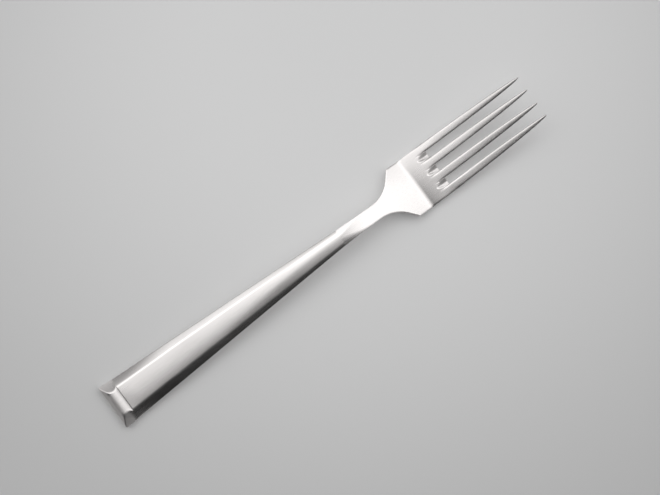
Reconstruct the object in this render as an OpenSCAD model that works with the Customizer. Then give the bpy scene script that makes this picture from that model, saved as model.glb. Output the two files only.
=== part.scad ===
// Dessert fork with a hollow handle.
// Lying on a table: +X runs from the butt to the tine tips, +Y to the left, +Z up.
// A place along the fork is given as u, the distance from the end of the butt.

/* [Lengths] */
// Handle, from the end of the butt to the neck joint
handle_len = 99.3; // [90:0.1:110]
// Shank, from the neck joint to the shoulder corners
shank_len = 27.6; // [24:0.1:32]
// Palm, from the shoulder corners to the roots of the slots
palm_len = 15; // [13:0.1:18]
// Tines, from the roots of the slots to the tips
tine_len = 41.1; // [34:0.1:48]

/* [Handle outline] */
// Width across the butt
butt_w = 17; // [15:0.1:20]
// Width of the handle at the neck joint
neck_w = 6.3; // [5.6:0.1:7.5]
// Width of the raised panel at the butt
panel_butt_w = 10; // [8.5:0.1:11]
// Width of the raised panel at the neck joint
panel_neck_w = 4.1; // [3.4:0.1:4.6]

/* [Handle section] */
// Height of the panel above the table at the butt
panel_butt_z = 4.1; // [3.6:0.05:5]
// Height of the panel above the table at the neck joint
panel_neck_z = 9; // [8:0.1:11]
// Thickness of the handle at the neck joint
neck_t = 3.9; // [3.5:0.05:5]
// Crown of the panel across its width at the butt
panel_butt_crown = 0.2; // [0.1:0.02:0.4]
// Crown of the panel across its width at the neck joint
panel_neck_crown = 0.2; // [0.1:0.02:0.4]
// Fall of the flank from the panel edge to the rim at the butt, as a share of the flank's width
flank_butt_slope = 0.55; // [0.45:0.01:0.6]
// Fall of the flank along the rest of the handle, as a share of the flank's width
flank_slope = 0.34; // [0.28:0.01:0.4]
// Length over which the flank eases from the one fall to the other
flank_blend_len = 26; // [16:1:36]
// Bulge of the flank, as a share of its width
flank_bulge_share = 0.015; // [0:0.005:0.03]
// Droop of the panel where it meets the butt roll
panel_droop = 0.05; // [0.02:0.01:0.15]
// Length over which the panel droops
panel_droop_len = 5; // [3:0.5:8]
// Wall of the pressed shells
shell_wall = 0.7; // [0.5:0.05:0.8]
// Straight edge of the front shell below the rim, beyond its wall
rim_lip = 0.3; // [0.2:0.05:0.4]
// Height of the back shell above the table at the butt
back_lift = 0.15; // [0.05:0.05:0.4]

/* [Butt roll] */
// Length of the roll along the handle
roll_len = 5.4; // [4.6:0.1:6.5]
// Radius of the outer half of the roll
roll_r = 3; // [2.6:0.1:3.4]
// Radius of the inner half of the roll, towards the groove
roll_inner_r = 4.4; // [3.6:0.1:6]
// Height of the roll's crest above the table
roll_z = 4.65; // [4.3:0.05:5.6]
// Radius of the hollow ends
roll_hollow_r = 16; // [13:0.5:20]
// Distance from the sides out to the lowest line of the hollow ends
roll_hollow_out = 6; // [5:0.1:7]
// Slope of the hollow ends up towards the end of the butt
roll_end_slope = 0.17; // [0.12:0.01:0.22]

/* [Shank and palm] */
// Width of the shank at its waist
waist_w = 5.6; // [5:0.1:6.2]
// Step in from the handle to the shank at the neck joint
neck_step = 0.06; // [0.04:0.01:0.2]
// Width across the shoulders
head_w = 20.4; // [18:0.1:22.5]
// Radius of the flare from the shank to the shoulder
flare_r = 12; // [8:0.5:14]
// Angle of the shoulder to the fork's axis
shoulder_angle = 49; // [42:1:56]
// Distance from the shoulder corners to the bend across the palm
bend_len = 5.4; // [4:0.1:7]
// Slope of the shank at the neck joint
neck_slope = 0.03; // [0:0.01:0.06]
// Height of the top face at the bend
bend_z = 2.7; // [2.5:0.05:3.2]
// Slope of the top face before the bend
slope_before = -0.27; // [-0.34:0.01:-0.2]
// Slope of the top face after the bend
slope_after = 0.13; // [0.08:0.01:0.18]
// Distance from the bend to the belly that the fork rests on
belly_len = 3; // [1:0.1:5]
// Height of the top face at the roots of the slots
root_z = 3.45; // [3.2:0.05:3.7]
// Slope of the top face at the roots of the slots
root_slope = 0.08; // [0.04:0.01:0.12]
// Thickness of the palm at the roots of the slots
palm_t = 2.3; // [2.1:0.05:2.45]
// Crown across the palm and the tines together
palm_crown = 0.55; // [0:0.05:0.7]
// Crown of the shank at the neck joint
shank_crown = 0.6; // [0.4:0.05:0.8]

/* [Tines] */
// Width of a slot at its root
slot_w = 2.9; // [2.4:0.05:3.2]
// Length of the scoop at the root of each slot
scoop_len = 4.7; // [3.5:0.1:5.5]
// Thickness left under the deep end of the scoop
scoop_floor = 1.8; // [1.6:0.05:2]
// Width of a tine at its tip
tip_w = 0.32; // [0.2:0.02:0.5]
// Thickness of a tine at its tip
tip_t = 0.5; // [0.4:0.05:0.8]
// Rise of the tines from the roots to the tips
tip_rise = 5.5; // [4.4:0.1:6]
// Slope of the tines at the tips
tip_slope = 0.18; // [0.12:0.01:0.24]
// Inward lean of the outer tines at the tips
tip_lean = 0.5; // [0:0.05:0.8]
// Fall of the tines' upper faces towards their edges
tine_round = 0.2; // [0.1:0.02:0.4]

/* [Tang] */
// Length of the tang inside the handle
tang_len = 52; // [35:1:60]
// Width of the tang at the neck joint
tang_w = 3.4; // [3:0.1:3.8]
// Width of the tang at its end
tang_end_w = 2.2; // [1.6:0.1:2.6]
// Thickness of the tang
tang_t = 1.5; // [1.2:0.05:1.6]
// Length of the cement core inside the handle
core_len = 68; // [64:1:80]
// Gap between the core and what it touches
core_fit = 0.06; // [0.03:0.01:0.1]

/* [Hidden] */

// Stations along the fork
neck_u = handle_len;
shoulder_u = neck_u + shank_len;
bend_u = shoulder_u + bend_len;
belly_u = bend_u + belly_len;
root_u = shoulder_u + palm_len;
tip_u = root_u + tine_len;
scoop_u = root_u - scoop_len;
fork_len = tip_u;
tang_u = neck_u - tang_len;
core_u = neck_u - core_len;

// Heights of the shank at the neck joint and of the tine tips
shank_top_z = panel_neck_z - neck_step;
shank_under_z = panel_neck_z - neck_t + neck_step;
tip_z = root_z + tip_rise;

// Tines at the roots of the slots
tine_count = 4;
tine_w = (head_w - (tine_count - 1) * slot_w) / tine_count;
pitch = tine_w + slot_w;

// Height of the straight edge of the front shell, and the small bevel above it
rim_edge = shell_wall + rim_lip;
rim_bevel = 0.12;

// Slopes of the handle's arch at its two ends, as shares of its mean slope
arch_start_share = 0.6;
arch_end_share = 0.6;

// Place of the waist along the shank, as a share of its length
waist_share = 0.38;
// Powers of the curves: how the shank's crown fades, how square the section is at the neck and at the palm,
// how round the tines' edges are, how round the scoops are, and how the tines taper at their roots and tips
crown_power = 0.45;
neck_power = 2.6;
palm_power = 7;
edge_power = 3;
scoop_power = 1.3;
taper_root_power = 2.2;
taper_tip_power = 0.75;
// Rounding of the underside, as a share of the rounding above it
under_share = 0.8;

// Points across one tine, as shares of its half width
tine_steps = [1, 0.7, 0, -0.7, -1];
tine_n = len(tine_steps);
// Points across the scoop between two tines, as shares of the slot
scoop_steps = [0.25, 0.5, 0.75];
scoop_n = len(scoop_steps);
half_n = tine_count * tine_n + (tine_count - 1) * scoop_n;

function clamp01(t) = min(max(t, 0), 1);
function share(u, a, b) = clamp01((u - a) / (b - a));
function smooth(t) = t * t * (3 - 2 * t);
function mix(a, b, t) = a + (b - a) * t;
function steps(a, b, n) = [for (i = [0 : n - 1]) mix(a, b, i / n)];
function reversed(list) = [for (i = [len(list) - 1 : -1 : 0]) list[i]];
// Power of a sine or cosine that keeps its sign
function signed_pow(x, p) = sign(x) * pow(abs(x), p);
// Cubic curve between two heights with a slope at each end
function cubic(u, a, b, za, zb, sa, sb) =
    let (t = share(u, a, b), l = b - a)
    (2 * t * t * t - 3 * t * t + 1) * za + (t * t * t - 2 * t * t + t) * l * sa
    + (3 * t * t - 2 * t * t * t) * zb + (t * t * t - t * t) * l * sb;

// Handle

function handle_half(u) = mix(butt_w, neck_w, share(u, 0, neck_u)) / 2;
function panel_half(u) = mix(panel_butt_w, panel_neck_w, share(u, roll_len, neck_u)) / 2;
function panel_crown(u) = mix(panel_butt_crown, panel_neck_crown, share(u, roll_len, neck_u));
function droop(u) = panel_droop * pow(1 - share(u, roll_len, roll_len + panel_droop_len), 2);
function arch(u, za, zb) =
    let (rise = (zb - za) / (neck_u - roll_len))
    cubic(u, roll_len, neck_u, za, zb, rise * arch_start_share, rise * arch_end_share);
function panel_z(u) = arch(u, panel_butt_z, panel_neck_z) - droop(u);
function back_z(u) = arch(u, back_lift, panel_neck_z - neck_t);
function flank_drop(u) =
    let (blend = smooth(share(u, roll_len, roll_len + flank_blend_len)))
    mix(flank_butt_slope, flank_slope, blend) * (handle_half(u) - panel_half(u));
function rim_z(u) = arch(u, panel_butt_z, panel_neck_z) - panel_crown(u) - flank_drop(u);
function seam_z(u) = rim_z(u) - rim_edge;

// Left half of the upper outline, from the seam over the rim and the flank to the middle
flank_steps = [0.02, 0.25, 0.5, 0.75];
panel_steps = [1, 0.7, 0.35];
function front_left(u) =
    let (w = handle_half(u), p = panel_half(u), top = panel_z(u), crown = panel_crown(u))
    let (edge = top - crown, rim = rim_z(u), bulge = flank_bulge_share * (w - p))
    concat(
        [[w, seam_z(u)], [w, rim - rim_bevel]],
        [for (t = flank_steps) [mix(w, p, t), mix(rim, edge, t) + 4 * bulge * t * (1 - t)]],
        [for (t = panel_steps) [p * t, top - crown * t * t]]);
function mirrored(left, middle) =
    concat(left, middle, [for (q = reversed(left)) [-q[0], q[1]]]);
function front_outer(u) = mirrored(front_left(u), [[0, panel_z(u)]]);
// Inner face of the front shell, or of what lies inside it by a further gap
function front_inner(u, gap) =
    let (w = handle_half(u), d = shell_wall + gap)
    let (left = front_left(u), inset = (w - d) / w, seam = seam_z(u))
    mirrored(
        concat(
            [[w - d, seam]],
            [for (i = [1 : len(left) - 1])
                [left[i][0] * inset, max(left[i][1] - d, seam + rim_lip * i / len(left))]]),
        [[0, panel_z(u) - d]]);

// Rounded underside, from the right seam under the handle to the left seam
back_n = 12;
back_power = 0.62;
function back_outline(u, gap) =
    let (w = handle_half(u) - gap, seam = seam_z(u), depth = seam - back_z(u) - gap)
    [for (i = [0 : back_n])
        let (a = 180 - 180 * i / back_n)
        [w * signed_pow(cos(a), back_power), seam - depth * pow(abs(sin(a)), back_power)]];

handle_stations = concat(
    steps(roll_len, roll_len + panel_droop_len, 5),
    steps(roll_len + panel_droop_len, neck_u, 17),
    [neck_u]);

// Head and shank

waist_u = neck_u + shank_len * waist_share;
corner_dx = (head_w - waist_w) / 2 / tan(shoulder_angle);
flare_meet_u = shoulder_u - corner_dx;
flare_tangent = flare_r * tan(shoulder_angle / 2);
flare_start_u = flare_meet_u - flare_tangent;
flare_end_u = flare_meet_u + flare_tangent * cos(shoulder_angle);
shank_start_w = neck_w - 2 * neck_step;

function head_half(u) =
    u < flare_start_u ? mix(shank_start_w, waist_w, smooth(share(u, neck_u, waist_u))) / 2
    : u < flare_end_u ? waist_w / 2 + flare_r - sqrt(pow(flare_r, 2) - pow(u - flare_start_u, 2))
    : min(head_w / 2, head_w / 2 - (shoulder_u - u) * tan(shoulder_angle));
function head_top(u) =
    u < bend_u ? cubic(u, neck_u, bend_u, shank_top_z, bend_z, neck_slope, slope_before)
    : u < root_u ? cubic(u, bend_u, root_u, bend_z, root_z, slope_after, root_slope)
    : cubic(u, root_u, tip_u, root_z, tip_z, root_slope, tip_slope);
function palm_under(u) =
    u < belly_u ? cubic(u, neck_u, belly_u, shank_under_z, 0, neck_slope, 0)
    : cubic(u, belly_u, root_u, 0, root_z - palm_t, 0, root_slope);

// Pointed taper of the tines, 1 at the root and 0 at the tip
function taper(u) = pow(1 - pow(share(u, root_u, tip_u), taper_root_power), taper_tip_power);
function tine_width(u) = mix(tip_w, tine_w, taper(u));
function tine_thick(u) = mix(tip_t, palm_t, taper(u));
function tine_y(k, u) =
    let (side = (tine_count - 1) / 2 - k)
    side * pitch - sign(side) * (abs(side) > 1 ? tip_lean : 0) * share(u, root_u, tip_u);

// Fall of the crown across the palm
function palm_fall(u, y) = palm_crown * smooth(share(u, flare_start_u, bend_u)) * pow(2 * y / head_w, 2);

// Points across the half section: their place at the root, share across their tine and share of the scoop
function scoop_point(edge, step) = [edge - step * slot_w, 0, 1 - pow(abs(2 * step - 1), scoop_power)];
function half_points() = [
    for (k = [0 : tine_count - 1])
    for (i = [0 : tine_n + (k < tine_count - 1 ? scoop_n : 0) - 1])
    let (edge = tine_y(k, root_u) - tine_w / 2)
    i < tine_n
        ? [tine_y(k, root_u) + tine_steps[i] * tine_w / 2, abs(tine_steps[i]), 0]
        : scoop_point(edge, scoop_steps[i - tine_n])];
across = half_points();

// Section of the shank and palm
function palm_ring(u) =
    let (w = head_half(u), top = head_top(u), under = palm_under(u))
    let (fade = share(u, neck_u, root_u), crown = mix(shank_crown, 0, pow(fade, crown_power)))
    let (power = mix(neck_power, palm_power, fade))
    let (edge = smooth(share(u, scoop_u, root_u)) * tine_round)
    let (deep = top - under - scoop_floor, shallow = pow(1 - share(u, scoop_u, root_u), 2))
    let (upper = [for (q = across)
        let (e = q[0] * 2 / head_w, scoop = deep * max(q[2] - shallow, 0))
        let (fall = crown * pow(abs(e), power) + edge * pow(q[1], edge_power) + palm_fall(u, e * w))
        [u, e * w, top - fall - scoop]])
    let (lower = [for (q = across)
        let (e = q[0] * 2 / head_w)
        [u, e * w, under + under_share * (crown * pow(abs(e), power) + edge * pow(q[1], edge_power))]])
    concat(upper, reversed(lower));

// Section of the tang: a rounded bar on the middle line of the handle's hollow
function tang_mid(u) = (panel_z(u) + back_z(u)) / 2;
function tang_half(u) = mix(tang_end_w, tang_w, share(u, tang_u, neck_u)) / 2;
tang_power = 5;
tang_edge_share = 0.98;
function tang_ring(u) =
    let (h = [for (q = across)
        let (e = q[0] * 2 / head_w)
        [e, pow(1 - tang_edge_share * pow(abs(e), tang_power), 1 / tang_power)]])
    let (w = tang_half(u), mid = tang_mid(u))
    concat(
        [for (q = h) [u, q[0] * w, mid + q[1] * tang_t / 2]],
        [for (q = reversed(h)) [u, q[0] * w, mid - q[1] * tang_t / 2]]);

// Section of one tine
function tine_ring(k, u) =
    let (w = tine_width(u) / 2, t = tine_thick(u), top = head_top(u), y = tine_y(k, u))
    let (r = tine_round * t / palm_t)
    concat(
        [for (a = tine_steps)
            let (fall = r * pow(abs(a), edge_power) + palm_fall(u, y + a * w) * t / palm_t)
            [u, y + a * w, top - fall]],
        [for (a = reversed(tine_steps)) [u, y + a * w, top - t + under_share * r * pow(abs(a), edge_power)]]);

palm_stations = concat(
    steps(neck_u, flare_start_u, 9),
    steps(flare_start_u, flare_end_u, 8),
    steps(flare_end_u, shoulder_u, 2),
    steps(shoulder_u, bend_u, 3),
    steps(bend_u, belly_u, 2),
    steps(belly_u, scoop_u, 2),
    steps(scoop_u, root_u, 6),
    [root_u]);
// Stations along the tines, closer together towards the tips
tine_station_n = 18;
tine_spacing_power = 0.8;
tine_stations = [
    for (i = [1 : tine_station_n])
    mix(root_u, tip_u, pow(i / tine_station_n, tine_spacing_power))];

// Surfaces through rings of points

// Two triangles of the side between ring points a and b and the next ring's points c and d
function side(a, b, c, d) = [[a, c, b], [a, d, c]];
function ring_sides(first, second, n) = [
    for (i = [0 : n - 1])
    each side(first + i, first + (i + 1) % n, second + (i + 1) % n, second + i)];
function at_u(u, outline) = [for (q = outline) [u, q[0], q[1]]];

module skin(rings) {
    n = len(rings[0]);
    last = (len(rings) - 1) * n;
    polyhedron(
        points = [for (r = rings) each r],
        faces = concat(
            [[for (i = [0 : n - 1]) i]],
            [for (j = [0 : len(rings) - 2]) each ring_sides(j * n, (j + 1) * n, n)],
            [[for (i = [n - 1 : -1 : 0]) last + i]]));
}

// Open shell: each ring runs along the outer outline and back along the inner one
module shell_skin(rings) {
    n = len(rings[0]);
    last = (len(rings) - 1) * n;
    polyhedron(
        points = [for (r = rings) each r],
        faces = concat(
            [for (i = [0 : n / 2 - 2]) each [[i, i + 1, n - 2 - i], [i, n - 2 - i, n - 1 - i]]],
            [for (j = [0 : len(rings) - 2]) each ring_sides(j * n, (j + 1) * n, n)],
            [for (i = [0 : n / 2 - 2])
                let (a = last + i, b = last + n - 1 - i)
                each [[b - 1, a + 1, a], [b, b - 1, a]]]));
}

// Forged head: tang, shank, palm and four tines in one
module fork_head() {
    rings = concat(
        [for (u = steps(tang_u, neck_u, 3)) tang_ring(u)],
        [tang_ring(neck_u)],
        [for (u = palm_stations) palm_ring(u)]);
    n = 2 * half_n;
    m = 2 * tine_n;
    cell = tine_n + scoop_n;
    root = (len(rings) - 1) * n;
    tines = len(rings) * n;
    // Number of point i of tine k at tine station r, where station 0 lies on the palm's last ring
    function spot(k, r, i) =
        r > 0 ? tines + ((r - 1) * tine_count + k) * m + i
        : i < tine_n ? root + k * cell + i
        : root + n - 1 - (k * cell + m - 1 - i);
    tip = len(tine_stations);
    color("silver")
    translate([-fork_len / 2, 0, 0])
    polyhedron(
        points = concat(
            [for (r = rings) each r],
            [for (u = tine_stations) for (k = [0 : tine_count - 1]) each tine_ring(k, u)]),
        faces = concat(
            [[for (i = [0 : n - 1]) i]],
            [for (j = [0 : len(rings) - 2]) each ring_sides(j * n, (j + 1) * n, n)],
            // Walls at the feet of the scoops
            [for (k = [0 : tine_count - 2]) for (i = [0 : scoop_n])
                let (a = k * cell + tine_n - 1 + i)
                each [
                    [root + n - 1 - a, root + n - 2 - a, root + a + 1],
                    [root + n - 1 - a, root + a + 1, root + a]]],
            [for (k = [0 : tine_count - 1]) for (r = [0 : tip - 1]) for (i = [0 : m - 1])
                each side(
                    spot(k, r, i), spot(k, r, (i + 1) % m),
                    spot(k, r + 1, (i + 1) % m), spot(k, r + 1, i))],
            [for (k = [0 : tine_count - 1]) [for (i = [m - 1 : -1 : 0]) spot(k, tip, i)]]));
}

// Pressed front shell with the raised panel and the flanks
module handle_front() {
    color("silver")
    translate([-fork_len / 2, 0, 0])
    shell_skin([for (u = handle_stations)
        at_u(u, concat(front_outer(u), reversed(front_inner(u, 0))))]);
}

// Pressed back shell
module handle_back() {
    color("gainsboro")
    translate([-fork_len / 2, 0, 0])
    shell_skin([for (u = handle_stations)
        at_u(u, concat(back_outline(u, 0), reversed(back_outline(u, shell_wall))))]);
}

// Round bar along Y, its axis at u and z
module cross_bar(u, z, r) {
    translate([u, butt_w, z]) rotate([90, 0, 0]) cylinder(h = 2 * butt_w, r = r, $fn = 96);
}

// Half-round bar across the butt, flat below, its ends cut hollow to run on into the flanks
module butt_roll() {
    half = handle_half(0);
    inner_half = handle_half(roll_len);
    // The hollows run on from the rims of the handle and rise towards the end of the butt
    hollow_y = half + roll_hollow_out;
    depth = sqrt(pow(roll_hollow_r, 2) - pow(hollow_y - inner_half, 2));
    hollow_z = rim_z(roll_len) + depth * sqrt(1 + pow(roll_end_slope, 2));
    color("silver")
    translate([-fork_len / 2, 0, 0])
    difference() {
        intersection() {
            union() {
                cross_bar(roll_r, roll_z - roll_r, roll_r);
                cross_bar(roll_r, roll_z - roll_inner_r, roll_inner_r);
            }
            linear_extrude(height = 2 * roll_z)
            polygon([[0, -half], [roll_len, -inner_half], [roll_len, inner_half], [0, half]]);
            union() {
                cross_bar(roll_r, roll_z - roll_r, roll_r);
                translate([roll_r, -butt_w, 0]) cube([roll_len - roll_r, 2 * butt_w, 2 * roll_z]);
            }
        }
        for (s = [-1, 1])
        translate([roll_len, s * hollow_y, hollow_z])
        rotate([0, 90 + atan(roll_end_slope), 0])
        cylinder(h = 4 * roll_len, r = roll_hollow_r, center = true, $fn = 128);
    }
}

// Cast core that fills the handle round the tang
module tang_cement() {
    top = len(front_inner(neck_u, core_fit));
    n = top + back_n - 1;
    end_u = neck_u - core_fit;
    blind_u = tang_u - core_fit;
    function outer_ring(u) =
        at_u(u, concat(
            front_inner(u, core_fit),
            [for (i = [1 : back_n - 1]) back_outline(u, shell_wall + core_fit)[i]]));
    function hole_ring(u) = [for (i = [0 : n - 1])
        let (a = 360 * i / n, w = tang_half(u) + core_fit, h = tang_t / 2 + core_fit)
        let (p = 2 / tang_power)
        [u, w * signed_pow(cos(a), p), tang_mid(u) + h * signed_pow(sin(a), p)]];
    stations = concat(steps(core_u, end_u, 14), [end_u]);
    hole_stations = concat(steps(end_u, blind_u, 8), [blind_u]);
    color("dimgray")
    translate([-fork_len / 2, 0, 0])
    skin(concat(
        [for (u = stations) outer_ring(u)],
        [for (u = hole_stations) hole_ring(u)]));
}

fork_head();
handle_front();
handle_back();
butt_roll();
tang_cement();
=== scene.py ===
"""Looks of the dessert fork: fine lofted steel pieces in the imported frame, a plain table and soft light."""
import math
from bisect import bisect_right

import bpy
from mathutils import Matrix, Vector


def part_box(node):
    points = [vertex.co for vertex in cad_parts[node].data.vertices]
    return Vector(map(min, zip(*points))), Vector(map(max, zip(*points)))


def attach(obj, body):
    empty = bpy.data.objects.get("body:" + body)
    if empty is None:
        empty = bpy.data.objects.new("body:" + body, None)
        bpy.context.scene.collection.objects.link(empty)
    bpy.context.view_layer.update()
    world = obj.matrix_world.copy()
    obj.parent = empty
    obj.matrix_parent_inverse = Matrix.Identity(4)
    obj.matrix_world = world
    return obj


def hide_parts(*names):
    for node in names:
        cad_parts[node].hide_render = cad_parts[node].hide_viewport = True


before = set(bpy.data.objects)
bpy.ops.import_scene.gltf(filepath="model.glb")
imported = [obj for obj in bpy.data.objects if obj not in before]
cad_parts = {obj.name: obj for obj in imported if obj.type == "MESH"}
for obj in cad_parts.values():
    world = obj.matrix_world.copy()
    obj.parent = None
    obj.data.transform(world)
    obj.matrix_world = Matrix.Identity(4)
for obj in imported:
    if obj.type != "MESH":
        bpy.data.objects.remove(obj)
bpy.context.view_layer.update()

# Sizes are in millimetres, and u is the distance from the end of the butt
MM = 0.001

# Main sizes, taken from the frame
roll_low, roll_high = (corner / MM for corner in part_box("butt_roll"))
front_low, front_high = (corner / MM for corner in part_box("handle_front"))
head_low, head_high = (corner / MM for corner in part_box("fork_head"))
BUTT_X = roll_low.x
ROLL_LEN = front_low.x - BUTT_X
NECK_U = front_high.x - BUTT_X
TANG_U = head_low.x - BUTT_X
TIP_U = head_high.x - BUTT_X
BUTT_W = roll_high.y - roll_low.y
HEAD_W = head_high.y - head_low.y
ROLL_Z = roll_high.z
PANEL_NECK_Z = front_high.z

# Handle: sizes of its outline and of the raised panel, at the butt and at the neck
NECK_W = 6.3
NECK_T = 3.9
PANEL_BUTT_W = 10.0
PANEL_NECK_W = 4.1
PANEL_BUTT_Z = 4.1
# Crown of the panel at its two ends, and the crown that the rim's height is measured from
PANEL_BUTT_CROWN = 0.15
PANEL_NECK_CROWN = 0.21
RIM_CROWN = 0.2
# Fall of the flanks to the rim as a share of their width: at the butt, along the handle and at the neck.
# Then the lengths over which it changes at both ends, and the bulge of the flanks as a share of their width
FLANK_BUTT_FALL = 0.55
FLANK_FALL = 0.34
FLANK_NECK_FALL = 0.46
FLANK_BLEND_LEN = 26.0
FLANK_NECK_LEN = 45.0
FLANK_BULGE = 0.015
# Droop of the panel's end towards the roll
PANEL_DROOP = 0.09
PANEL_DROOP_LEN = 5.5
# Shells: wall, straight edge at the seam, height of the back at the butt and power of its rounded section
SHELL_WALL = 0.7
RIM_LIP = 0.3
BACK_LIFT = 0.15
BACK_POWER = 0.62
# Slopes of the handle's arch at its two ends, as shares of its mean slope
ARCH_START = 0.4
ARCH_END = 0.4
# Rounding along the panel edge, along the rim, at the panel's end, where it fades out over a width beyond
# the panel, and at the neck. Then the fine groove at the seam
RIDGE_ROUND = 0.55
RIM_ROUND = 0.15
GROOVE_ROUND = 0.22
GROOVE_FADE = 0.8
NECK_ROUND = 0.03
SEAM_GROOVE = 0.05

# Butt roll: radii of its outer and inner side
ROLL_R = 3.0
ROLL_INNER_R = 4.4
# Its ends are cut along a wide, shallow hollow, whose lowest line lies this far outside the handle.
# They rise towards the butt by a slope that eases in from the flanks, and meet the roll in a soft edge
ROLL_HOLLOW_R = 60.0
ROLL_HOLLOW_OUT = 27.2
ROLL_END_SLOPE = 0.2
ROLL_END_EASE = 1.6
CREST_ROUND = 0.3
# The roll runs out flat towards the butt, from this angle above its middle down to a soft brink,
# with a little draft below that
ROLL_FLAT_ANGLE = math.radians(52)
BRINK_DRAFT = 0.03
BRINK_ROUND = 0.2

# Shank and palm
WAIST_W = 5.6
WAIST_SHARE = 0.38
NECK_STEP = 0.06
SHANK_LEN = 27.6
# Length over which the neck's round section turns into a flat one, and the edges of the round one:
# reach as a share of its half width, and fall as a share of its thickness
FACET_LEN = 11.0
NECK_EDGE_REACH = 0.95
NECK_EDGE_FALL = 0.15
PALM_LEN = 15.0
FLARE_R = 12.0
SHOULDER_ANGLE = math.radians(49)
BEND_LEN = 5.4
BELLY_LEN = 3.0
BEND_Z = 2.7
ROOT_Z = 3.45
SLOPE_NECK = 0.05
SLOPE_BEFORE = -0.27
SLOPE_AFTER = 0.13
SLOPE_ROOT = 0.08
PALM_T = 2.3
# Crown across the palm and the tines together, rounding along the bend, and soft edges of the palm
PALM_CROWN = 0.55
BEND_ROUND = 1.0
PALM_EDGE_REACH = 0.6
PALM_EDGE_FALL = 0.12

# Tines
TINE_COUNT = 4
SLOT_W = 2.9
SCOOP_LEN = 4.7
SCOOP_FLOOR = 1.8
SCOOP_POWER = 1.3
SCOOP_SOFT = 0.2
TIP_W = 0.32
TIP_T = 0.5
TIP_RISE = 5.5
TIP_SLOPE = 0.18
TIP_LEAN = 0.5
TAPER_START = 2.0
TAPER_END = 0.55
# Fall of a tine's section towards its edges, as a share of its thickness, at the root and at the tip
TINE_ROUND = 0.025
TIP_ROUND = 0.16
# Greatest tilt of a tine across, and the length over which the palm's crown eases into it
TINE_TILT = 0.03
TILT_LEN = 8.0
# Soft edges of the tines, reach and fall as shares of the half width
TINE_EDGE_REACH = 0.4
TINE_EDGE_FALL = 0.1

# Tang
TANG_W = 3.4
TANG_END_W = 2.2
TANG_T = 1.5
# Power of its rounded section, and a share just under 1 that leaves its edges some height
TANG_POWER = 5
TANG_EDGE = 0.98

# Stations and heights that follow from the sizes above
SHOULDER_U = NECK_U + SHANK_LEN
BEND_U = SHOULDER_U + BEND_LEN
BELLY_U = BEND_U + BELLY_LEN
ROOT_U = SHOULDER_U + PALM_LEN
SCOOP_U = ROOT_U - SCOOP_LEN
WAIST_U = NECK_U + SHANK_LEN * WAIST_SHARE
SHANK_START_W = NECK_W - 2 * NECK_STEP
SHANK_TOP_Z = PANEL_NECK_Z - NECK_STEP
SHANK_UNDER_Z = PANEL_NECK_Z - NECK_T + NECK_STEP
TINE_W = (HEAD_W - (TINE_COUNT - 1) * SLOT_W) / TINE_COUNT
PITCH = TINE_W + SLOT_W
FLARE_TANGENT = FLARE_R * math.tan(SHOULDER_ANGLE / 2)
FLARE_MEET_U = SHOULDER_U - (HEAD_W - WAIST_W) / 2 / math.tan(SHOULDER_ANGLE)
FLARE_START_U = FLARE_MEET_U - FLARE_TANGENT
FLARE_END_U = FLARE_MEET_U + FLARE_TANGENT * math.cos(SHOULDER_ANGLE)

# Fineness of the meshes: points or gaps across the sections
ROUNDING_TAPS = 5
WALL_POINTS = 9
FLANK_POINTS = 31
PANEL_POINTS = 31
BACK_POINTS = 61
TINE_GAPS = 16
SCOOP_GAPS = 20
ROLL_FOOT_POINTS = 10
ROLL_BRINK_POINTS = 18
ROLL_CREST_POINTS = 20
ROLL_REAR_GAPS = 30
ROLL_DROP_GAPS = 6
# Stations along the pieces, and how the tines' stations draw together towards the tips
HANDLE_END_STATIONS = 6
HANDLE_DROOP_STATIONS = 24
HANDLE_STATIONS = 90
ROLL_STATION_GAPS = 180
TANG_STATIONS = 3
TINE_STATIONS = 64
TINE_SPACING = 0.85
# Stretches of the shank and palm: where each one ends, and its stations
PALM_STRETCHES = (
    (FLARE_START_U, 30),
    (FLARE_END_U, 30),
    (SHOULDER_U, 10),
    (BEND_U - BEND_ROUND, 12),
    (BEND_U + BEND_ROUND, 12),
    (BELLY_U, 7),
    (SCOOP_U, 6),
    (ROOT_U, 36),
)
# Faces that meet at more than this angle keep a sharp edge
SHARP_ANGLE = math.radians(38)


def clamp01(t):
    return min(max(t, 0.0), 1.0)


def share(u, a, b):
    return clamp01((u - a) / (b - a))


def smooth(t):
    return t * t * (3 - 2 * t)


def mix(a, b, t):
    return a + (b - a) * t


def spread(a, b, count):
    """Evenly spaced values from a up to, but without, b."""
    return [mix(a, b, i / count) for i in range(count)]


def eased(count):
    """Values from 0 to 1, both included, that lie closer together near both ends."""
    return [(1 - math.cos(math.pi * i / (count - 1))) / 2 for i in range(count)]


def soft_min(a, b, width):
    h = clamp01(0.5 + 0.5 * (b - a) / width)
    return mix(b, a, h) - width * h * (1 - h)


def signed_pow(x, p):
    return math.copysign(abs(x) ** p, x)


def cubic(u, a, b, za, zb, slope_a, slope_b):
    """Height on the cubic curve from (a, za) to (b, zb) with a slope at each end."""
    t = share(u, a, b)
    length = b - a
    start = (2 * t ** 3 - 3 * t ** 2 + 1) * za + (t ** 3 - 2 * t ** 2 + t) * length * slope_a
    end = (3 * t ** 2 - 2 * t ** 3) * zb + (t ** 3 - t ** 2) * length * slope_b
    return start + end


def quarter_round(distance, reach, depth):
    """Fall of a rounded edge at a distance from it: depth at the edge itself, 0 beyond reach."""
    t = clamp01(1 - distance / reach)
    return depth * (1 - math.sqrt(1 - t * t))


def bevelled(distance, reach, depth):
    """Fall of a softly bevelled edge at a distance from it: depth at the edge itself, 0 beyond reach."""
    return depth * clamp01(1 - distance / reach) ** 2


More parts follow.
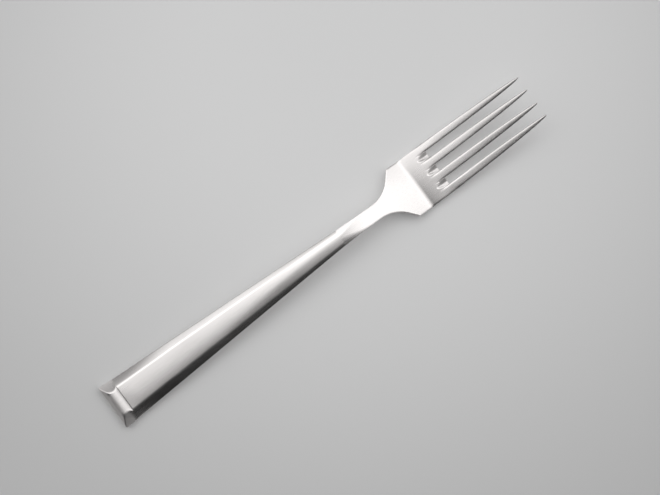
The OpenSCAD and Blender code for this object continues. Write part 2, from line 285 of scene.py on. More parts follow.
def rounded(line, radius):
    """The same points of a (y, z) line after its corners are averaged over a short way on each side."""
    places = [0.0]
    for p, q in zip(line, line[1:]):
        places.append(places[-1] + math.dist(p, q))
    length = places[-1]

    def at(s):
        i = min(max(bisect_right(places, s) - 1, 0), len(line) - 2)
        gap = places[i + 1] - places[i]
        t = (s - places[i]) / gap if gap > 0 else 0
        return mix(line[i][0], line[i + 1][0], t), mix(line[i][1], line[i + 1][1], t)

    taps = [k / ROUNDING_TAPS for k in range(-ROUNDING_TAPS, ROUNDING_TAPS + 1)]
    result = []
    for s in places:
        reach = min(radius, s, length - s)
        near = [at(s + reach * tap) for tap in taps]
        result.append((sum(p[0] for p in near) / len(taps), sum(p[1] for p in near) / len(taps)))
    return result


# Handle outline


def handle_half(u):
    return mix(BUTT_W, NECK_W, share(u, 0, NECK_U)) / 2


def panel_half(u):
    return mix(PANEL_BUTT_W, PANEL_NECK_W, share(u, ROLL_LEN, NECK_U)) / 2


def panel_crown(u):
    return mix(PANEL_BUTT_CROWN, PANEL_NECK_CROWN, share(u, ROLL_LEN, NECK_U) ** 2)


def arch(u, za, zb):
    rise = (zb - za) / (NECK_U - ROLL_LEN)
    return cubic(u, ROLL_LEN, NECK_U, za, zb, rise * ARCH_START, rise * ARCH_END)


def panel_z(u):
    droop = PANEL_DROOP * (1 - share(u, ROLL_LEN, ROLL_LEN + PANEL_DROOP_LEN)) ** 2
    return arch(u, PANEL_BUTT_Z, PANEL_NECK_Z) - droop


def back_z(u):
    return arch(u, BACK_LIFT, PANEL_NECK_Z - NECK_T)


def rim_z(u):
    fall = mix(FLANK_BUTT_FALL, FLANK_FALL, smooth(share(u, ROLL_LEN, ROLL_LEN + FLANK_BLEND_LEN)))
    fall = mix(fall, FLANK_NECK_FALL, smooth(share(u, NECK_U - FLANK_NECK_LEN, NECK_U)))
    return arch(u, PANEL_BUTT_Z, PANEL_NECK_Z) - RIM_CROWN - fall * (handle_half(u) - panel_half(u))


def seam_z(u):
    return rim_z(u) - SHELL_WALL - RIM_LIP


def neck_inset(u):
    """How far the shells' outer faces are rounded in at the neck."""
    return quarter_round(NECK_U - u, NECK_ROUND, NECK_ROUND)


def groove_fall(u, y):
    """How far the panel's end falls to the groove beside the roll, fading out beyond the panel's edge."""
    beyond = share(abs(y), panel_half(u), panel_half(u) + GROOVE_FADE)
    return quarter_round(u - ROLL_LEN, GROOVE_ROUND, GROOVE_ROUND) * (1 - smooth(beyond))


def front_line(u):
    """Left half of the front shell's outline: seam, rim, flank and panel up to the middle."""
    w, p, top, rim, seam = handle_half(u), panel_half(u), panel_z(u), rim_z(u), seam_z(u)
    edge = arch(u, PANEL_BUTT_Z, PANEL_NECK_Z) - panel_crown(u)
    bulge = FLANK_BULGE * (w - p)
    wall = [(w, mix(seam + SEAM_GROOVE, rim, t)) for t in eased(WALL_POINTS)]
    flank = [(mix(w, p, t), mix(rim, edge, t) + 4 * bulge * t * (1 - t)) for t in eased(FLANK_POINTS)]
    panel = [(p * (1 - t), mix(top, edge, (1 - t) ** 2)) for t in eased(PANEL_POINTS)]
    upper = rounded(flank + panel[1:], RIDGE_ROUND * p / PANEL_BUTT_W * 2)
    line = rounded([(w - SEAM_GROOVE, seam)] + wall + upper[1:], RIM_ROUND)
    inset = neck_inset(u)
    return [(y * (1 - inset / w), max(z - inset - groove_fall(u, y), seam)) for y, z in line]


def mirrored(line):
    return line + [(-y, z) for y, z in reversed(line[:-1])]


def front_inner_line(u):
    """Left half of the front shell's inner face, one point for each point of the outline."""
    w, seam = handle_half(u), seam_z(u)
    line = front_line(u)
    inset = (w - SHELL_WALL) / w
    step = RIM_LIP / len(line)
    return [(y * inset, max(z - SHELL_WALL, seam + step * i)) for i, (y, z) in enumerate(line)]


def back_line(u, gap):
    """Underside of the handle from its right seam to its left seam, gap inside the outer face."""
    inset = gap + neck_inset(u)
    w, seam = handle_half(u) - inset, seam_z(u)
    depth = seam - back_z(u) - inset
    line = []
    for t in eased(BACK_POINTS):
        a = math.pi * (1 - t)
        y = w * signed_pow(math.cos(a), BACK_POWER)
        line.append((y, seam - depth * abs(math.sin(a)) ** BACK_POWER))
    if gap == 0:
        line[0] = (line[0][0] + SEAM_GROOVE, line[0][1])
        line[-1] = (line[-1][0] - SEAM_GROOVE, line[-1][1])
    return line


# Head outline


def head_half(u):
    if u < FLARE_START_U:
        return mix(SHANK_START_W, WAIST_W, smooth(share(u, NECK_U, WAIST_U))) / 2
    if u < FLARE_END_U:
        return WAIST_W / 2 + FLARE_R - math.sqrt(FLARE_R ** 2 - (u - FLARE_START_U) ** 2)
    return min(HEAD_W / 2, HEAD_W / 2 - (SHOULDER_U - u) * math.tan(SHOULDER_ANGLE))


def head_top(u):
    fillet = (SLOPE_AFTER - SLOPE_BEFORE) / (4 * BEND_ROUND) * max(BEND_ROUND - abs(u - BEND_U), 0) ** 2
    if u < BEND_U:
        return fillet + cubic(u, NECK_U, BEND_U, SHANK_TOP_Z, BEND_Z, SLOPE_NECK, SLOPE_BEFORE)
    if u < ROOT_U:
        return fillet + cubic(u, BEND_U, ROOT_U, BEND_Z, ROOT_Z, SLOPE_AFTER, SLOPE_ROOT)
    return cubic(u, ROOT_U, TIP_U, ROOT_Z, ROOT_Z + TIP_RISE, SLOPE_ROOT, TIP_SLOPE)


def palm_fall(u, y):
    """How far the crown across the palm has fallen at a place."""
    return PALM_CROWN * smooth(share(u, FLARE_START_U, BEND_U)) * (2 * y / HEAD_W) ** 2


def palm_under(u):
    if u < BELLY_U:
        return cubic(u, NECK_U, BELLY_U, SHANK_UNDER_Z, 0, SLOPE_NECK, 0)
    return cubic(u, BELLY_U, ROOT_U, 0, ROOT_Z - PALM_T, 0, SLOPE_ROOT)


def taper(u):
    """Pointed taper of the tines, 1 at the root and 0 at the tip."""
    return (1 - share(u, ROOT_U, TIP_U) ** TAPER_START) ** TAPER_END


def tine_y(k, u):
    side = (TINE_COUNT - 1) / 2 - k
    lean = TIP_LEAN if abs(side) > 1 else 0
    return side * PITCH - math.copysign(lean, side) * share(u, ROOT_U, TIP_U)


def tine_fall(u, a, w, thick):
    """How far a tine's section of half width w has fallen at share a of it."""
    rounding = mix(TIP_ROUND, TINE_ROUND, taper(u))
    return rounding * thick * a * a + bevelled(1 - abs(a), TINE_EDGE_REACH, TINE_EDGE_FALL * w)


def crown_fall(u, y, off):
    """How far the crown across the tines has fallen at a distance off the middle line y of a tine."""
    slope = 8 * PALM_CROWN * y / HEAD_W ** 2
    tilt = min(max(slope, -TINE_TILT), TINE_TILT)
    eased_in = smooth(share(u, ROOT_U, ROOT_U + TILT_LEN))
    return mix(palm_fall(u, y + off), palm_fall(u, y) + tilt * off, eased_in)


# Points across one tine, as shares of its half width, and across the scoop between two tines
TINE_STEPS = [math.cos(math.pi * i / TINE_GAPS) for i in range(TINE_GAPS + 1)]
SCOOP_STEPS = [i / SCOOP_GAPS for i in range(1, SCOOP_GAPS)]
CELL = len(TINE_STEPS) + len(SCOOP_STEPS)


def across_points():
    """Points over the head's width: place at the slot roots, share across its tine, share of the scoop."""
    points = []
    for k in range(TINE_COUNT):
        middle = tine_y(k, ROOT_U)
        points += [(middle + a * TINE_W / 2, a, -SCOOP_SOFT) for a in TINE_STEPS]
        if k < TINE_COUNT - 1:
            edge = middle - TINE_W / 2
            for s in SCOOP_STEPS:
                points.append((edge - s * SLOT_W, 1.0, 1 - abs(2 * s - 1) ** SCOOP_POWER))
    return points


ACROSS = across_points()


def palm_ring(u):
    """Section of the shank and palm."""
    w, top, under = head_half(u), head_top(u), palm_under(u)
    thick = top - under
    plate = smooth(share(u, NECK_U, NECK_U + FACET_LEN))
    reach = mix(NECK_EDGE_REACH * w, PALM_EDGE_REACH, plate)
    depth = mix(NECK_EDGE_FALL * thick, PALM_EDGE_FALL, plate)
    tine = smooth(share(u, SCOOP_U, ROOT_U))
    shallow = (1 + SCOOP_SOFT) * (1 - share(u, SCOOP_U, ROOT_U)) ** 2
    upper, lower = [], []
    for place, a, bowl in ACROSS:
        e = place * 2 / HEAD_W
        edge = bevelled(w * (1 - abs(e)), reach, depth)
        fall = mix(edge, tine_fall(u, a, TINE_W / 2, thick) if bowl < 0 else 0, tine)
        scoop = -soft_min(shallow - bowl, 0, SCOOP_SOFT) * (thick - SCOOP_FLOOR)
        upper.append((u, e * w, top - fall - palm_fall(u, e * w) - scoop))
        lower.append((u, e * w, under + fall))
    return upper + lower[::-1]


def tang_ring(u):
    """Section of the tang, a rounded bar on the middle line of the handle's hollow."""
    w = mix(TANG_END_W, TANG_W, share(u, TANG_U, NECK_U)) / 2
    mid = (panel_z(u) + back_z(u)) / 2
    upper, lower = [], []
    for place, _, _ in ACROSS:
        e = place * 2 / HEAD_W
        h = (1 - TANG_EDGE * abs(e) ** TANG_POWER) ** (1 / TANG_POWER) * TANG_T / 2
        upper.append((u, e * w, mid + h))
        lower.append((u, e * w, mid - h))
    return upper + lower[::-1]


def tine_ring(k, u):
    """Section of one tine."""
    w, thick = mix(TIP_W, TINE_W, taper(u)) / 2, mix(TIP_T, PALM_T, taper(u))
    top, y = head_top(u), tine_y(k, u)
    upper, lower = [], []
    for a in TINE_STEPS:
        fall = tine_fall(u, a, w, thick)
        upper.append((u, y + a * w, top - fall - crown_fall(u, y, a * w) * thick / PALM_T))
        lower.append((u, y + a * w, top - thick + fall))
    return upper + lower[::-1]


# Meshes


def make_piece(name, points, faces, node, material):
    """Links a mesh of points in (u, y, z) that stands for a CAD node."""
    mesh = bpy.data.meshes.new(name)
    mesh.from_pydata([((u + BUTT_X) * MM, y * MM, z * MM) for u, y, z in points], [], faces)
    mesh.polygons.foreach_set("use_smooth", [True] * len(mesh.polygons))
    mesh.set_sharp_from_angle(angle=SHARP_ANGLE)
    mesh.materials.append(material)
    piece = bpy.data.objects.new(name, mesh)
    bpy.context.scene.collection.objects.link(piece)
    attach(piece, "root")
    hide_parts(node)


def ring_faces(first, second, count):
    """Faces between two rings of points, given the number of each ring's first point."""
    faces = []
    for i in range(count):
        j = (i + 1) % count
        faces.append((first + i, second + i, second + j, first + j))
    return faces


def shell_faces(rings, count):
    """Faces of an open shell whose rings run along the outer outline and back along the inner one."""
    faces = []
    last = (rings - 1) * count
    for r in range(rings - 1):
        faces += ring_faces(r * count, (r + 1) * count, count)
    for i in range(count // 2 - 1):
        j = count - 1 - i
        faces.append((i, i + 1, j - 1, j))
        faces.append((last + j, last + j - 1, last + i + 1, last + i))
    return faces


def handle_stations():
    """Places along the shells, closer together at the two ends and where the panel droops."""
    lead = ROLL_LEN + GROOVE_ROUND
    calm = lead + PANEL_DROOP_LEN
    tail = NECK_U - 2 * NECK_ROUND
    rounding = [1 - math.cos(math.pi / 2 * t) for t in spread(0, 1, HANDLE_END_STATIONS)]
    start = [ROLL_LEN + GROOVE_ROUND * r for r in rounding]
    end = [tail, NECK_U - NECK_ROUND] + [NECK_U - NECK_ROUND * r for r in reversed(rounding)]
    droop = spread(lead, calm, HANDLE_DROOP_STATIONS)
    return start + droop + spread(calm, tail, HANDLE_STATIONS) + end


def shell(name, node, outer, inner, material):
    stations = handle_stations()
    rings = [outer(u) + inner(u)[::-1] for u in stations]
    points = [(u, y, z) for u, ring in zip(stations, rings) for y, z in ring]
    make_piece(name, points, shell_faces(len(rings), len(rings[0])), node, material)


def front_shell(material):
    def outer(u):
        return mirrored(front_line(u))

    def inner(u):
        return mirrored(front_inner_line(u))

    shell("front_shell", "handle_front", outer, inner, material)


def back_shell(material):
    def outer(u):
        return back_line(u, 0)

    def inner(u):
        return back_line(u, SHELL_WALL)

    shell("back_shell", "handle_back", outer, inner, material)


def roll_section():
    """Section of the roll in (u, z), from its flat foot over the brink and the crest to the groove."""
    outer_z = ROLL_Z - ROLL_R
    inner_z = ROLL_Z - ROLL_INNER_R

    def outer(a):
        return ROLL_R - ROLL_R * math.cos(a), outer_z + ROLL_R * math.sin(a)

    foot = math.asin(outer_z / ROLL_R)
    groove = math.asin((ROLL_LEN - ROLL_R) / ROLL_INNER_R)
    flat_u, flat_z = outer(ROLL_FLAT_ANGLE)
    brink_z = flat_z - (flat_u - BRINK_DRAFT) / math.tan(ROLL_FLAT_ANGLE)
    line = [outer(a) for a in spread(-foot, 0, ROLL_FOOT_POINTS)]
    steps = spread(0, 1, ROLL_BRINK_POINTS)
    line += [(BRINK_DRAFT * t, mix(outer_z, brink_z, t)) for t in steps]
    line += [(mix(BRINK_DRAFT, flat_u, t), mix(brink_z, flat_z, t)) for t in steps]
    line += [outer(a) for a in spread(ROLL_FLAT_ANGLE, math.pi / 2, ROLL_CREST_POINTS)]
    line = rounded(line, BRINK_ROUND)
    rear = [groove * i / ROLL_REAR_GAPS for i in range(ROLL_REAR_GAPS + 1)]
    line += [(ROLL_R + ROLL_INNER_R * math.sin(a), inner_z + ROLL_INNER_R * math.cos(a)) for a in rear]
    line += [(ROLL_LEN, line[-1][1] * (1 - i / ROLL_DROP_GAPS)) for i in range(1, ROLL_DROP_GAPS + 1)]
    return line


def end_roll(material):
    hollow_y = BUTT_W / 2 + ROLL_HOLLOW_OUT
    tilt = math.hypot(1, ROLL_END_SLOPE)

    def hollow(y):
        """Height of the cut ends above the lowest line of their hollow."""
        return (ROLL_HOLLOW_R - math.sqrt(ROLL_HOLLOW_R ** 2 - (hollow_y - abs(y)) ** 2)) * tilt

    def end_rise(d):
        """Rise of the cut ends at a distance from the handle, level where they leave the flanks."""
        eased_part = min(d, ROLL_END_EASE)
        return ROLL_END_SLOPE * (eased_part ** 2 / (2 * ROLL_END_EASE) + d - eased_part)

    low_z = rim_z(ROLL_LEN) - hollow(handle_half(ROLL_LEN))
    section = roll_section()
    count = len(section)
    shares = [mix(1, -1, i / ROLL_STATION_GAPS) for i in range(ROLL_STATION_GAPS + 1)]
    points = []
    for e in shares:
        for u, z in section:
            y = e * handle_half(u)
            cut = low_z + hollow(y) + end_rise(ROLL_LEN - u)
            points.append((u, y, max(soft_min(z, cut, CREST_ROUND), min(z, 0))))
    faces = [tuple(range(count))]
    for r in range(len(shares) - 1):
        faces += ring_faces(r * count, (r + 1) * count, count)
    last = (len(shares) - 1) * count
    faces.append(tuple(last + i for i in reversed(range(count))))
    make_piece("end_roll", points, faces, "butt_roll", material)


def palm_stations():
    stations = []
    start = NECK_U
    for end, count in PALM_STRETCHES:
        stations += spread(start, end, count)
        start = end
    return stations + [ROOT_U]


def head_piece(material):
    """Tang, shank, palm and tines as one mesh."""
    rings = [tang_ring(u) for u in spread(TANG_U, NECK_U, TANG_STATIONS)] + [tang_ring(NECK_U)]
    rings += [palm_ring(u) for u in palm_stations()]
    count = 2 * len(ACROSS)
    tine_n = len(TINE_STEPS)
    m = 2 * tine_n
    root = (len(rings) - 1) * count
    steps = [(i / TINE_STATIONS) ** TINE_SPACING for i in range(1, TINE_STATIONS + 1)]
    stations = [mix(ROOT_U, TIP_U, t) for t in steps]
    points = [p for ring in rings for p in ring]
    tine_start = len(points)
    for u in stations:
        for k in range(TINE_COUNT):
            points += tine_ring(k, u)

    def spot(k, r, i):
        """Number of point i of tine k at tine station r, where station 0 lies on the palm's last ring."""
        if r > 0:
            return tine_start + ((r - 1) * TINE_COUNT + k) * m + i
        if i < tine_n:
            return root + k * CELL + i
        return root + count - 1 - (k * CELL + m - 1 - i)

    faces = [tuple(range(count))]
    for r in range(len(rings) - 1):
        faces += ring_faces(r * count, (r + 1) * count, count)
    for k in range(TINE_COUNT - 1):
        for i in range(len(SCOOP_STEPS) + 1):
            a = root + k * CELL + tine_n - 1 + i
            b = 2 * root + count - 1 - a
            faces.append((a + 1, a, b, b - 1))
    for k in range(TINE_COUNT):
        for r in range(len(stations)):
            for i in range(m):
                j = (i + 1) % m
                faces.append((spot(k, r, i), spot(k, r + 1, i), spot(k, r + 1, j), spot(k, r, j)))
        faces.append(tuple(spot(k, len(stations), i) for i in reversed(range(m))))
    make_piece("head", points, faces, "fork_head", material)


# Materials

# Spread of the roughness over the steel
ROUGH_SPREAD = 0.06
# Extra roughness of the handle next to the roll, inside the scoops, in the middle of the roll and along the
# roll's outer side. It fades between edges in metres, which lie along the fork or off a middle line
MATT_BUTT = 0.04
MATT_BUTT_LEN = 14
MATT_BUTT_EDGES = (front_low.x * MM, (front_low.x + MATT_BUTT_LEN) * MM)
MATT_SCOOP = 0.15
SCOOP_SIDE_FADE = 0.5
SCOOP_START_FADE = 1.5
SCOOP_END_FADE = 1
MATT_SCOOP_SIDE = ((SLOT_W / 2 - SCOOP_SIDE_FADE) * MM, SLOT_W / 2 * MM)
MATT_SCOOP_START = ((SCOOP_U + BUTT_X) * MM, (SCOOP_U + BUTT_X + SCOOP_START_FADE) * MM)
MATT_SCOOP_END = ((ROOT_U + BUTT_X) * MM, (ROOT_U + BUTT_X + SCOOP_END_FADE) * MM)
MATT_MIDDLE = 0.18
MATT_MIDDLE_EDGES = (0.0034, 0.0046)
MATT_OUTER = 0.08
MATT_OUTER_LEN = 2.4
MATT_OUTER_EDGES = ((front_low.x - MATT_OUTER_LEN) * MM, front_low.x * MM)
# Dark and light tone of each steel, and its roughness
HANDLE_TONES = ((0.745, 0.72, 0.71), (0.82, 0.795, 0.785))
HANDLE_ROUGHNESS = 0.15
ROLL_TONES = ((0.73, 0.705, 0.695), (0.8, 0.775, 0.765))
ROLL_ROUGHNESS = 0.19
HEAD_TONES = ((0.755, 0.73, 0.72), (0.835, 0.81, 0.80))
HEAD_ROUGHNESS = 0.2
# Brushing and smudges of the steel: stretch along each axis and detail of the noise
BRUSH_SCALE = (60, 3000, 3000)
BRUSH_DETAIL = 4
SMUDGE_SCALE = (55, 90, 90)
SMUDGE_DETAIL = 3
BRUSH_BUMP = 0.07
BRUSH_DEPTH = 0.00001
# Cement: its tones, grains, patches, roughness and pores
CEMENT_TONES = ((0.2, 0.185, 0.17), (0.44, 0.42, 0.39))
GRAIN_SIZE = 2500
GRAIN_DETAIL = 6
PATCH_SIZE = 300
PATCH_DETAIL = 2
CEMENT_ROUGHNESS = (0.75, 0.95)
PORE_BUMP = 0.4
PORE_DEPTH = 0.0001
EVEN = (1, 1, 1)
# Part of the noise's values that is spread over a range
NOISE_LOW = 0.3
NOISE_HIGH = 0.7


def new_material(name):
    material = bpy.data.materials.new(name)
    material.use_nodes = True
    tree = material.node_tree
    return material, tree, tree.nodes["Principled BSDF"]


def grain(tree, coords, scale, detail, size=1):
    """Noise over the object's own coordinates, stretched by a scale along each axis."""
    mapping = tree.nodes.new("ShaderNodeMapping")
    mapping.inputs["Scale"].default_value = scale
    noise = tree.nodes.new("ShaderNodeTexNoise")
    noise.inputs["Scale"].default_value = size
    noise.inputs["Detail"].default_value = detail
    tree.links.new(coords.outputs["Object"], mapping.inputs["Vector"])
    tree.links.new(mapping.outputs["Vector"], noise.inputs["Vector"])
    return noise.outputs["Fac"]


def ranged(tree, value, low, high):
    """A noise value spread from low to high."""
    node = tree.nodes.new("ShaderNodeMapRange")
    node.inputs["From Min"].default_value = NOISE_LOW
    node.inputs["From Max"].default_value = NOISE_HIGH
    node.inputs["To Min"].default_value = low
    node.inputs["To Max"].default_value = high
    tree.links.new(value, node.inputs["Value"])
    return node.outputs["Result"]


def stepped(tree, value, edges, levels):
    """A value eased from one level to another between two edges."""
    node = tree.nodes.new("ShaderNodeMapRange")
    node.interpolation_type = "SMOOTHSTEP"
    node.inputs["From Min"].default_value, node.inputs["From Max"].default_value = edges
    node.inputs["To Min"].default_value, node.inputs["To Max"].default_value = levels
    tree.links.new(value, node.inputs["Value"])
    return node.outputs["Result"]


def calculated(tree, operation, *values):
    node = tree.nodes.new("ShaderNodeMath")
    node.operation = operation
    for socket, value in zip(node.inputs, values):
        tree.links.new(value, socket)
    return node.outputs["Value"]


def added(tree, a, b):
    return calculated(tree, "ADD", a, b)


def multiplied(tree, a, b):
    return calculated(tree, "MULTIPLY", a, b)


def along(tree, vector, direction):
    """How far a vector reaches along a direction."""
    node = tree.nodes.new("ShaderNodeVectorMath")
    node.operation = "DOT_PRODUCT"
    node.inputs[1].default_value = direction
    tree.links.new(vector, node.inputs[0])
    return node.outputs["Value"]


def split(tree, coords):
    """The object's own coordinates, with one output for each axis."""
    node = tree.nodes.new("ShaderNodeSeparateXYZ")
    tree.links.new(coords.outputs["Object"], node.inputs["Vector"])
    return node.outputs


def blended(tree, factor, dark, light):
    node = tree.nodes.new("ShaderNodeMix")
    node.data_type = "RGBA"
    node.inputs["A"].default_value = (*dark, 1)
    node.inputs["B"].default_value = (*light, 1)
    tree.links.new(factor, node.inputs["Factor"])
    return node.outputs["Result"]


def bumped(tree, height, strength, distance, shader):
    node = tree.nodes.new("ShaderNodeBump")
    node.inputs["Strength"].default_value = strength
    node.inputs["Distance"].default_value = distance
    tree.links.new(height, node.inputs["Height"])
    tree.links.new(node.outputs["Normal"], shader.inputs["Normal"])


def handle_dullness(tree, coords):
    """Extra roughness of the handle next to the roll."""
    return stepped(tree, split(tree, coords)["X"], MATT_BUTT_EDGES, (MATT_BUTT, 0))


def head_dullness(tree, coords):
    """Extra roughness of the head inside its scoops, which repeat across the head."""
    parts = split(tree, coords)
    off = tree.nodes.new("ShaderNodeMath")
    off.operation = "PINGPONG"
    off.inputs[1].default_value = PITCH / 2 * MM
    tree.links.new(parts["Y"], off.inputs[0])
    across = stepped(tree, off.outputs["Value"], MATT_SCOOP_SIDE, (MATT_SCOOP, 0))
    start = stepped(tree, parts["X"], MATT_SCOOP_START, (0, 1))
    end = stepped(tree, parts["X"], MATT_SCOOP_END, (1, 0))
    return multiplied(tree, across, multiplied(tree, start, end))


def roll_dullness(tree, coords):
    """Extra roughness of the roll, which is duller in its middle and along its outer side."""
    parts = split(tree, coords)
    off = calculated(tree, "ABSOLUTE", parts["Y"])
    middle = stepped(tree, off, MATT_MIDDLE_EDGES, (MATT_MIDDLE, 0))
    outer = stepped(tree, parts["X"], MATT_OUTER_EDGES, (MATT_OUTER, 0))
    return added(tree, middle, outer)


def steel(name, tones, roughness, dullness):
    """Satin steel: lengthwise brushing, soft smudges and a duller part."""
    material, tree, shader = new_material(name)
    coords = tree.nodes.new("ShaderNodeTexCoord")
    brushing = grain(tree, coords, BRUSH_SCALE, BRUSH_DETAIL)
    smudges = grain(tree, coords, SMUDGE_SCALE, SMUDGE_DETAIL)
    shader.inputs["Metallic"].default_value = 1
    tone = ranged(tree, smudges, 0, 1)
    tree.links.new(blended(tree, tone, *tones), shader.inputs["Base Color"])
    lines = ranged(tree, brushing, 0, ROUGH_SPREAD)
    haze = ranged(tree, smudges, roughness, roughness + ROUGH_SPREAD)
    total = added(tree, added(tree, lines, haze), dullness(tree, coords))
    tree.links.new(total, shader.inputs["Roughness"])
    bumped(tree, brushing, BRUSH_BUMP, BRUSH_DEPTH, shader)
    return material


def cement():
    """Grey mineral-filled resin with coarse grains and pores."""
    material, tree, shader = new_material("cement")
    coords = tree.nodes.new("ShaderNodeTexCoord")
    grains = grain(tree, coords, EVEN, GRAIN_DETAIL, GRAIN_SIZE)
    patches = grain(tree, coords, EVEN, PATCH_DETAIL, PATCH_SIZE)
    tree.links.new(blended(tree, grains, *CEMENT_TONES), shader.inputs["Base Color"])
    tree.links.new(ranged(tree, patches, *CEMENT_ROUGHNESS), shader.inputs["Roughness"])
    bumped(tree, grains, PORE_BUMP, PORE_DEPTH, shader)
    return material


def dress_core(material):
    """Gives the carried-over cement core its material."""
    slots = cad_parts["tang_cement"].data.materials
    slots.clear()
    slots.append(material)


# Camera, floor and light

# The camera's distance and target are in millimetres
CAMERA_AZIMUTH = math.radians(-36.35)
CAMERA_ELEVATION = math.radians(86)
CAMERA_ROLL = math.radians(-0.2)
CAMERA_DISTANCE = 531.4
CAMERA_TARGET = Vector((3.23, 0.007, 0))
IMAGE_WIDTH = 660
FOCAL_PIXELS = 1500
SENSOR = 36.0
CLIP_START = 0.01


def add_camera():
    data = bpy.data.cameras.new("camera")
    data.sensor_width = SENSOR
    data.lens = SENSOR * FOCAL_PIXELS / IMAGE_WIDTH
    data.clip_start = CLIP_START
    camera = bpy.data.objects.new("camera", data)
    ring = math.cos(CAMERA_ELEVATION)
    away = Vector((
        ring * math.sin(CAMERA_AZIMUTH),
        -ring * math.cos(CAMERA_AZIMUTH),
        math.sin(CAMERA_ELEVATION),
    ))
    turn = away.to_track_quat("Z", "Y").to_matrix().to_4x4() @ Matrix.Rotation(CAMERA_ROLL, 4, "Z")
    camera.matrix_world = Matrix.Translation((CAMERA_TARGET + away * CAMERA_DISTANCE) * MM) @ turn
    bpy.context.scene.collection.objects.link(camera)
    bpy.context.scene.camera = camera


FLOOR_HALF = 2.0
FLOOR_ROUGHNESS = 0.7
FLOOR_SPECULAR = 0.1
# The floor carries a painted pool of light, palest round a place given from the middle of the picture: right
# and up, in metres.
# Its painted tone and the painted glow added to what is seen of it run from there out to the rim of the pool
FLOOR_LIGHT_POOL_PLACE = (0.008, 0.075)
FLOOR_LIGHT_POOL_EDGES = (0.04, 0.23)
FLOOR_LIGHT_POOL_TONES = (0.806, 0.62)
FLOOR_LIGHT_POOL_GLOWS = (0.1, 0.022)


def seen_directly(tree):
    """1 on camera, glossy and transmission rays, 0 on the rays that light the object."""
    path = tree.nodes.new("ShaderNodeLightPath")
    total = path.outputs["Is Camera Ray"]
    for kind in ("Is Glossy Ray", "Is Transmission Ray"):
        total = calculated(tree, "MAXIMUM", total, path.outputs[kind])
    return total


def add_floor():
    mesh = bpy.data.meshes.new("floor")
    h = FLOOR_HALF
    mesh.from_pydata([(-h, -h, 0), (h, -h, 0), (h, h, 0), (-h, h, 0)], [], [(0, 1, 2, 3)])
    material, tree, shader = new_material("pale_table")
    shader.inputs["Roughness"].default_value = FLOOR_ROUGHNESS
    shader.inputs["Specular IOR Level"].default_value = FLOOR_SPECULAR
    shader.inputs["Emission Color"].default_value = (1, 1, 1, 1)
    coords = tree.nodes.new("ShaderNodeTexCoord")
    away = tree.nodes.new("ShaderNodeVectorMath")
    away.operation = "DISTANCE"
    pale = Matrix.Rotation(CAMERA_AZIMUTH, 3, "Z") @ Vector((*FLOOR_LIGHT_POOL_PLACE, 0))
    away.inputs[1].default_value = CAMERA_TARGET * MM + pale
    tree.links.new(coords.outputs["Object"], away.inputs[0])
    # Painted pool of light: the base colour pales and a painted glow, seen on camera, glossy and transmission
    # rays, grows towards the pool's middle
    tone = stepped(tree, away.outputs["Value"], FLOOR_LIGHT_POOL_EDGES, FLOOR_LIGHT_POOL_TONES)
    lift = stepped(tree, away.outputs["Value"], FLOOR_LIGHT_POOL_EDGES, FLOOR_LIGHT_POOL_GLOWS)
    tree.links.new(tone, shader.inputs["Base Color"])
    tree.links.new(multiplied(tree, lift, seen_directly(tree)), shader.inputs["Emission Strength"])
    mesh.materials.append(material)
    floor = bpy.data.objects.new("floor", mesh)
    bpy.context.scene.collection.objects.link(floor)


# The studio is bright on the far side of the table, dim near the horizon and dark on the near side.
# Ways into it are given from the picture: right, up and above the table
BRIGHT_TURN = math.radians(30)
DARK_EDGE = -0.31
BRIGHT_EDGE = 0.37
BRIGHT_LEVEL = 1.45
DARK_LEVEL = 0.02
HORIZON_LEVEL = 0.12
HORIZON_EDGE = 0.35
HIGH_EDGE = 0.85
# Three glows on the left: way, edge and middle of the glow, and level
GLOWS = (
    ((-0.92, 0.15, 0.36), (0.88, 0.98), 0.65),
    ((-0.36, 0.48, 0.8), (0.9, 0.99), 0.18),
    ((-0.67, 0.1, 0.73), (0.95, 0.99), 0.8),
)
# Low walls all round, from their full level up to where they end
WALL_LEVEL = 0.1
WALL_EDGES = (0.3, 0.55)
# Pale backdrop behind the table, from its full level up to where it ends
BACKDROP_LEVEL = 0.36
BACKDROP_EDGES = (0.16, 0.3)


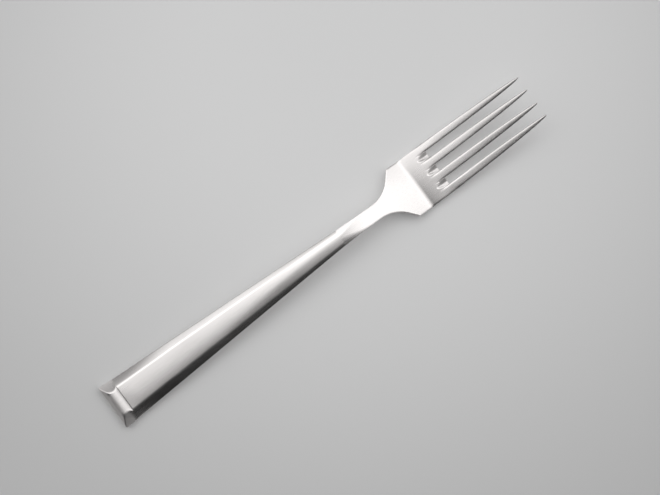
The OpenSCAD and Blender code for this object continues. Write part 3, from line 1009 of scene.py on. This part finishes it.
def add_world():
    world = bpy.data.worlds.new("studio")
    bpy.context.scene.world = world
    world.use_nodes = True
    tree = world.node_tree
    coords = tree.nodes.new("ShaderNodeTexCoord")
    turn = math.pi / 2 + CAMERA_AZIMUTH - BRIGHT_TURN
    far_side = Vector((math.cos(turn), math.sin(turn), 0))
    look = coords.outputs["Generated"]
    up = along(tree, look, (0, 0, 1))
    side = stepped(tree, along(tree, look, far_side), (DARK_EDGE, BRIGHT_EDGE), (DARK_LEVEL, BRIGHT_LEVEL))
    height = stepped(tree, up, (HORIZON_EDGE, HIGH_EDGE), (HORIZON_LEVEL, 1))
    studio = added(tree, multiplied(tree, side, height), stepped(tree, up, WALL_EDGES, (WALL_LEVEL, 0)))
    for way, edges, level in GLOWS:
        turned_way = Matrix.Rotation(CAMERA_AZIMUTH, 3, "Z") @ Vector(way).normalized()
        studio = added(tree, studio, stepped(tree, along(tree, look, turned_way), edges, (0, level)))
    light = tree.nodes.new("ShaderNodeMix")
    light.inputs["B"].default_value = BACKDROP_LEVEL
    tree.links.new(stepped(tree, up, BACKDROP_EDGES, (1, 0)), light.inputs["Factor"])
    tree.links.new(studio, light.inputs["A"])
    background = tree.nodes["Background"]
    background.inputs["Color"].default_value = (1, 1, 1, 1)
    tree.links.new(light.outputs["Result"], background.inputs["Strength"])


# A fill card over the handle, placed from the middle of the picture in metres: right, up and above the table
FILL_PLACE = (-0.19, 0.03, 0.45)
FILL_SIZE = 0.26
FILL_RADIANCE = 0.68


def add_fill():
    data = bpy.data.lights.new("fill", "AREA")
    data.size = FILL_SIZE
    data.energy = FILL_RADIANCE * math.pi * FILL_SIZE ** 2
    lamp = bpy.data.objects.new("fill", data)
    right, up, height = FILL_PLACE
    place = Matrix.Rotation(CAMERA_AZIMUTH, 4, "Z") @ Vector((right, up, height))
    lamp.matrix_world = Matrix.Translation(place) @ place.to_track_quat("Z", "Y").to_matrix().to_4x4()
    lamp.visible_camera = False
    bpy.context.scene.collection.objects.link(lamp)


bpy.context.scene.view_settings.view_transform = "Standard"
add_camera()
add_floor()
add_world()
add_fill()
handle_steel = steel("handle_satin", HANDLE_TONES, HANDLE_ROUGHNESS, handle_dullness)
roll_steel = steel("roll_satin", ROLL_TONES, ROLL_ROUGHNESS, roll_dullness)
head_steel = steel("head_satin", HEAD_TONES, HEAD_ROUGHNESS, head_dullness)
front_shell(handle_steel)
back_shell(handle_steel)
end_roll(roll_steel)
head_piece(head_steel)
dress_core(cement())
